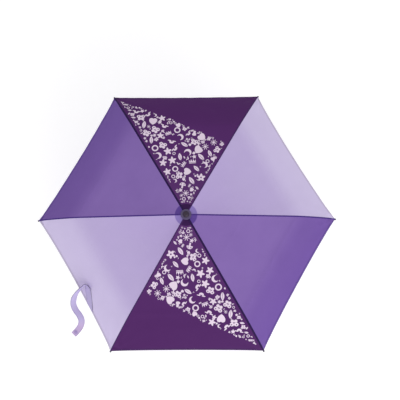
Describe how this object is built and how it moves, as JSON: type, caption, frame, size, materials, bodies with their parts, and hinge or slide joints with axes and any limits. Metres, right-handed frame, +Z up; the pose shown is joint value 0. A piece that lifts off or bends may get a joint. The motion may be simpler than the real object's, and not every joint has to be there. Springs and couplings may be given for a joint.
{
  "type": "children's umbrella",
  "caption": "Open children's folding umbrella with a hexagonal panelled canopy, jointed folding ribs, a sliding runner and a telescopic shaft with a short moulded grip.",
  "frame": {"origin": "middle of the hand grip, on the shaft's axis", "axes": "+Z up the shaft towards the crown, +X along the first rib; drawn open, with the shaft drawn out"},
  "size_m": [0.9652, 0.8364, 0.555],
  "materials": {
    "moulded_black": "satin moulded plastic",
    "frame_steel": "plated sheet steel",
    "tube_steel": "bright plated tube",
    "cloth_dark": "printed polyester pongee",
    "cloth_mid": "polyester pongee",
    "cloth_light": "polyester pongee",
    "washer_cloth": "polyester over a stiff disc",
    "button_plastic": "gloss moulded plastic",
    "fastener_plastic": "snap stud",
    "spring_steel": "spring steel"
  },
  "bodies": {
    "hand_unit": {"handle_grip": "moulded_black", "handle_end_cap": "moulded_black", "handle_collar": "tube_steel", "lower_tube": "tube_steel"},
    "middle_shaft": {"middle_tube": "tube_steel"},
    "top_shaft": {"top_tube": "tube_steel", "crown": "moulded_black", "crown_wire": "frame_steel", "ferrule_cap": "moulded_black", "cap_washer": "washer_cloth", "canopy_rosette": "cloth_mid", "panel_1": "cloth_light", "panel_2": "cloth_dark", "panel_3": "cloth_mid", "panel_4": "cloth_light", "panel_5": "cloth_dark", "panel_6": "cloth_mid"},
    "runner_unit": {"runner": "moulded_black", "runner_wire": "frame_steel", "button_spring": "spring_steel"},
    "button_unit": {"runner_button": "button_plastic"},
    "strap_unit": {"closure_strap": "cloth_light", "strap_fastener": "fastener_plastic"},
    "rib_1": {"top_rib_1": "frame_steel"},
    "arm_1": {"stretcher_1": "frame_steel"},
    "mid_1": {"middle_rib_1": "frame_steel"},
    "end_1": {"outer_rib_1": "frame_steel", "rib_tip_1": "moulded_black"},
    "link_1": {"link_rod_1": "frame_steel"},
    "rib_2": {"top_rib_2": "frame_steel"},
    "arm_2": {"stretcher_2": "frame_steel"},
    "mid_2": {"middle_rib_2": "frame_steel"},
    "end_2": {"outer_rib_2": "frame_steel", "rib_tip_2": "moulded_black"},
    "link_2": {"link_rod_2": "frame_steel"},
    "rib_3": {"top_rib_3": "frame_steel"},
    "arm_3": {"stretcher_3": "frame_steel"},
    "mid_3": {"middle_rib_3": "frame_steel"},
    "end_3": {"outer_rib_3": "frame_steel", "rib_tip_3": "moulded_black"},
    "link_3": {"link_rod_3": "frame_steel"},
    "rib_4": {"top_rib_4": "frame_steel"},
    "arm_4": {"stretcher_4": "frame_steel"},
    "mid_4": {"middle_rib_4": "frame_steel"},
    "end_4": {"outer_rib_4": "frame_steel", "rib_tip_4": "moulded_black"},
    "link_4": {"link_rod_4": "frame_steel"},
    "rib_5": {"top_rib_5": "frame_steel"},
    "arm_5": {"stretcher_5": "frame_steel"},
    "mid_5": {"middle_rib_5": "frame_steel"},
    "end_5": {"outer_rib_5": "frame_steel", "rib_tip_5": "moulded_black"},
    "link_5": {"link_rod_5": "frame_steel"},
    "rib_6": {"top_rib_6": "frame_steel"},
    "arm_6": {"stretcher_6": "frame_steel"},
    "mid_6": {"middle_rib_6": "frame_steel"},
    "end_6": {"outer_rib_6": "frame_steel", "rib_tip_6": "moulded_black"},
    "link_6": {"link_rod_6": "frame_steel"}
  },
  "joints": [
    {"name": "middle_shaft_slide", "type": "slide", "parent": "hand_unit", "child": "middle_shaft", "axis": [0, 0, -1], "range_m": [0, 0.14]},
    {"name": "top_shaft_slide", "type": "slide", "parent": "middle_shaft", "child": "top_shaft", "axis": [0, 0, -1], "range_m": [0, 0.14]},
    {"name": "canopy_fold", "type": "hinge", "parent": "top_shaft", "child": "rib_1", "pos_m": [0.009, 0, 0.506], "axis": [0, 1, 0], "range_deg": [0, 79.5], "deforming": ["canopy_rosette", "closure_strap", "strap_fastener", "panel_1", "panel_2", "panel_3", "panel_4", "panel_5", "panel_6"]},
    {"name": "rib_2_hinge", "type": "hinge", "parent": "top_shaft", "child": "rib_2", "pos_m": [0.0045, 0.00779, 0.506], "axis": [-0.866, 0.5, 0], "range_deg": [0, 79.6]},
    {"name": "rib_3_hinge", "type": "hinge", "parent": "top_shaft", "child": "rib_3", "pos_m": [-0.0045, 0.00779, 0.506], "axis": [-0.866, -0.5, 0], "range_deg": [0, 79.6]},
    {"name": "rib_4_hinge", "type": "hinge", "parent": "top_shaft", "child": "rib_4", "pos_m": [-0.009, 0, 0.506], "axis": [0, -1, 0], "range_deg": [0, 79.6]},
    {"name": "rib_5_hinge", "type": "hinge", "parent": "top_shaft", "child": "rib_5", "pos_m": [-0.0045, -0.00779, 0.506], "axis": [0.866, -0.5, 0], "range_deg": [0, 79.6]},
    {"name": "rib_6_hinge", "type": "hinge", "parent": "top_shaft", "child": "rib_6", "pos_m": [0.0045, -0.00779, 0.506], "axis": [0.866, 0.5, 0], "range_deg": [0, 79.6]},
    {"name": "stretcher_1_hinge", "type": "hinge", "parent": "rib_1", "child": "arm_1", "pos_m": [0.08766, 0, 0.49142], "axis": [0, 1, 0], "range_deg": [-159.1, 0]},
    {"name": "middle_rib_1_hinge", "type": "hinge", "parent": "rib_1", "child": "mid_1", "pos_m": [0.17786, 0, 0.48619], "axis": [0, 1, 0], "range_deg": [-179.6, 0]},
    {"name": "outer_rib_1_hinge", "type": "hinge", "parent": "mid_1", "child": "end_1", "pos_m": [0.34158, 0, 0.45833], "axis": [0, 1, 0], "range_deg": [0, 163.9]},
    {"name": "link_rod_1_hinge", "type": "hinge", "parent": "arm_1", "child": "link_1", "pos_m": [0.07389, 0, 0.48887], "axis": [0, 1, 0], "range_deg": [0, 159.1]},
    {"name": "stretcher_2_hinge", "type": "hinge", "parent": "rib_2", "child": "arm_2", "pos_m": [0.04383, 0.07592, 0.49142], "axis": [-0.866, 0.5, 0], "range_deg": [-159.1, 0]},
    {"name": "middle_rib_2_hinge", "type": "hinge", "parent": "rib_2", "child": "mid_2", "pos_m": [0.08893, 0.15403, 0.48619], "axis": [-0.866, 0.5, 0], "range_deg": [-179.6, 0]},
    {"name": "outer_rib_2_hinge", "type": "hinge", "parent": "mid_2", "child": "end_2", "pos_m": [0.17079, 0.29581, 0.45833], "axis": [-0.866, 0.5, 0], "range_deg": [0, 163.9]},
    {"name": "link_rod_2_hinge", "type": "hinge", "parent": "arm_2", "child": "link_2", "pos_m": [0.03695, 0.06399, 0.48887], "axis": [-0.866, 0.5, 0], "range_deg": [0, 159.1]},
    {"name": "stretcher_3_hinge", "type": "hinge", "parent": "rib_3", "child": "arm_3", "pos_m": [-0.04383, 0.07592, 0.49142], "axis": [-0.866, -0.5, 0], "range_deg": [-159.1, 0]},
    {"name": "middle_rib_3_hinge", "type": "hinge", "parent": "rib_3", "child": "mid_3", "pos_m": [-0.08893, 0.15403, 0.48619], "axis": [-0.866, -0.5, 0], "range_deg": [-179.6, 0]},
    {"name": "outer_rib_3_hinge", "type": "hinge", "parent": "mid_3", "child": "end_3", "pos_m": [-0.17079, 0.29581, 0.45833], "axis": [-0.866, -0.5, 0], "range_deg": [0, 163.9]},
    {"name": "link_rod_3_hinge", "type": "hinge", "parent": "arm_3", "child": "link_3", "pos_m": [-0.03695, 0.06399, 0.48887], "axis": [-0.866, -0.5, 0], "range_deg": [0, 159.1]},
    {"name": "stretcher_4_hinge", "type": "hinge", "parent": "rib_4", "child": "arm_4", "pos_m": [-0.08766, 0, 0.49142], "axis": [0, -1, 0], "range_deg": [-159.1, 0]},
    {"name": "middle_rib_4_hinge", "type": "hinge", "parent": "rib_4", "child": "mid_4", "pos_m": [-0.17786, 0, 0.48619], "axis": [0, -1, 0], "range_deg": [-179.6, 0]},
    {"name": "outer_rib_4_hinge", "type": "hinge", "parent": "mid_4", "child": "end_4", "pos_m": [-0.34158, 0, 0.45833], "axis": [0, -1, 0], "range_deg": [0, 163.9]},
    {"name": "link_rod_4_hinge", "type": "hinge", "parent": "arm_4", "child": "link_4", "pos_m": [-0.07389, 0, 0.48887], "axis": [0, -1, 0], "range_deg": [0, 159.1]},
    {"name": "stretcher_5_hinge", "type": "hinge", "parent": "rib_5", "child": "arm_5", "pos_m": [-0.04383, -0.07592, 0.49142], "axis": [0.866, -0.5, 0], "range_deg": [-159.1, 0]},
    {"name": "middle_rib_5_hinge", "type": "hinge", "parent": "rib_5", "child": "mid_5", "pos_m": [-0.08893, -0.15403, 0.48619], "axis": [0.866, -0.5, 0], "range_deg": [-179.6, 0]},
    {"name": "outer_rib_5_hinge", "type": "hinge", "parent": "mid_5", "child": "end_5", "pos_m": [-0.17079, -0.29581, 0.45833], "axis": [0.866, -0.5, 0], "range_deg": [0, 163.9]},
    {"name": "link_rod_5_hinge", "type": "hinge", "parent": "arm_5", "child": "link_5", "pos_m": [-0.03695, -0.06399, 0.48887], "axis": [0.866, -0.5, 0], "range_deg": [0, 159.1]},
    {"name": "stretcher_6_hinge", "type": "hinge", "parent": "rib_6", "child": "arm_6", "pos_m": [0.04383, -0.07592, 0.49142], "axis": [0.866, 0.5, 0], "range_deg": [-159.1, 0]},
    {"name": "middle_rib_6_hinge", "type": "hinge", "parent": "rib_6", "child": "mid_6", "pos_m": [0.08893, -0.15403, 0.48619], "axis": [0.866, 0.5, 0], "range_deg": [-179.6, 0]},
    {"name": "outer_rib_6_hinge", "type": "hinge", "parent": "mid_6", "child": "end_6", "pos_m": [0.17079, -0.29581, 0.45833], "axis": [0.866, 0.5, 0], "range_deg": [0, 163.9]},
    {"name": "link_rod_6_hinge", "type": "hinge", "parent": "arm_6", "child": "link_6", "pos_m": [0.03695, -0.06399, 0.48887], "axis": [0.866, 0.5, 0], "range_deg": [0, 159.1]},
    {"name": "runner_hinge", "type": "hinge", "parent": "arm_1", "child": "runner_unit", "pos_m": [0.009, 0, 0.47684], "axis": [0, 1, 0], "range_deg": [0, 79.6]},
    {"name": "runner_button_press", "type": "slide", "parent": "runner_unit", "child": "button_unit", "axis": [-0.866, -0.5, 0], "range_m": [0, 0.0015], "stiffness_N_per_m": 900, "deforming": ["button_spring"]},
    {"name": "strap_gather", "type": "slide", "parent": "end_5", "child": "strap_unit", "axis": [0.866, -0.5, 0], "range_m": [0, 0.116]}
  ],
  "couplings": [
    {"joint": "rib_2_hinge", "follows": "canopy_fold", "ratio": 1},
    {"joint": "rib_3_hinge", "follows": "canopy_fold", "ratio": 1},
    {"joint": "rib_4_hinge", "follows": "canopy_fold", "ratio": 1},
    {"joint": "rib_5_hinge", "follows": "canopy_fold", "ratio": 1},
    {"joint": "rib_6_hinge", "follows": "canopy_fold", "ratio": 1},
    {"joint": "stretcher_1_hinge", "follows": "canopy_fold", "ratio": -2},
    {"joint": "middle_rib_1_hinge", "follows": "canopy_fold", "ratio": -2.2579},
    {"joint": "outer_rib_1_hinge", "follows": "canopy_fold", "ratio": 2.0604},
    {"joint": "link_rod_1_hinge", "follows": "canopy_fold", "ratio": 2},
    {"joint": "stretcher_2_hinge", "follows": "canopy_fold", "ratio": -2},
    {"joint": "middle_rib_2_hinge", "follows": "canopy_fold", "ratio": -2.2579},
    {"joint": "outer_rib_2_hinge", "follows": "canopy_fold", "ratio": 2.0604},
    {"joint": "link_rod_2_hinge", "follows": "canopy_fold", "ratio": 2},
    {"joint": "stretcher_3_hinge", "follows": "canopy_fold", "ratio": -2},
    {"joint": "middle_rib_3_hinge", "follows": "canopy_fold", "ratio": -2.2579},
    {"joint": "outer_rib_3_hinge", "follows": "canopy_fold", "ratio": 2.0604},
    {"joint": "link_rod_3_hinge", "follows": "canopy_fold", "ratio": 2},
    {"joint": "stretcher_4_hinge", "follows": "canopy_fold", "ratio": -2},
    {"joint": "middle_rib_4_hinge", "follows": "canopy_fold", "ratio": -2.2579},
    {"joint": "outer_rib_4_hinge", "follows": "canopy_fold", "ratio": 2.0604},
    {"joint": "link_rod_4_hinge", "follows": "canopy_fold", "ratio": 2},
    {"joint": "stretcher_5_hinge", "follows": "canopy_fold", "ratio": -2},
    {"joint": "middle_rib_5_hinge", "follows": "canopy_fold", "ratio": -2.2579},
    {"joint": "outer_rib_5_hinge", "follows": "canopy_fold", "ratio": 2.0604},
    {"joint": "link_rod_5_hinge", "follows": "canopy_fold", "ratio": 2},
    {"joint": "stretcher_6_hinge", "follows": "canopy_fold", "ratio": -2},
    {"joint": "middle_rib_6_hinge", "follows": "canopy_fold", "ratio": -2.2579},
    {"joint": "outer_rib_6_hinge", "follows": "canopy_fold", "ratio": 2.0604},
    {"joint": "link_rod_6_hinge", "follows": "canopy_fold", "ratio": 2},
    {"joint": "runner_hinge", "follows": "canopy_fold", "ratio": 1},
    {"joint": "strap_gather", "follows": "canopy_fold", "m_per_rad": 0.082881}
  ]
}
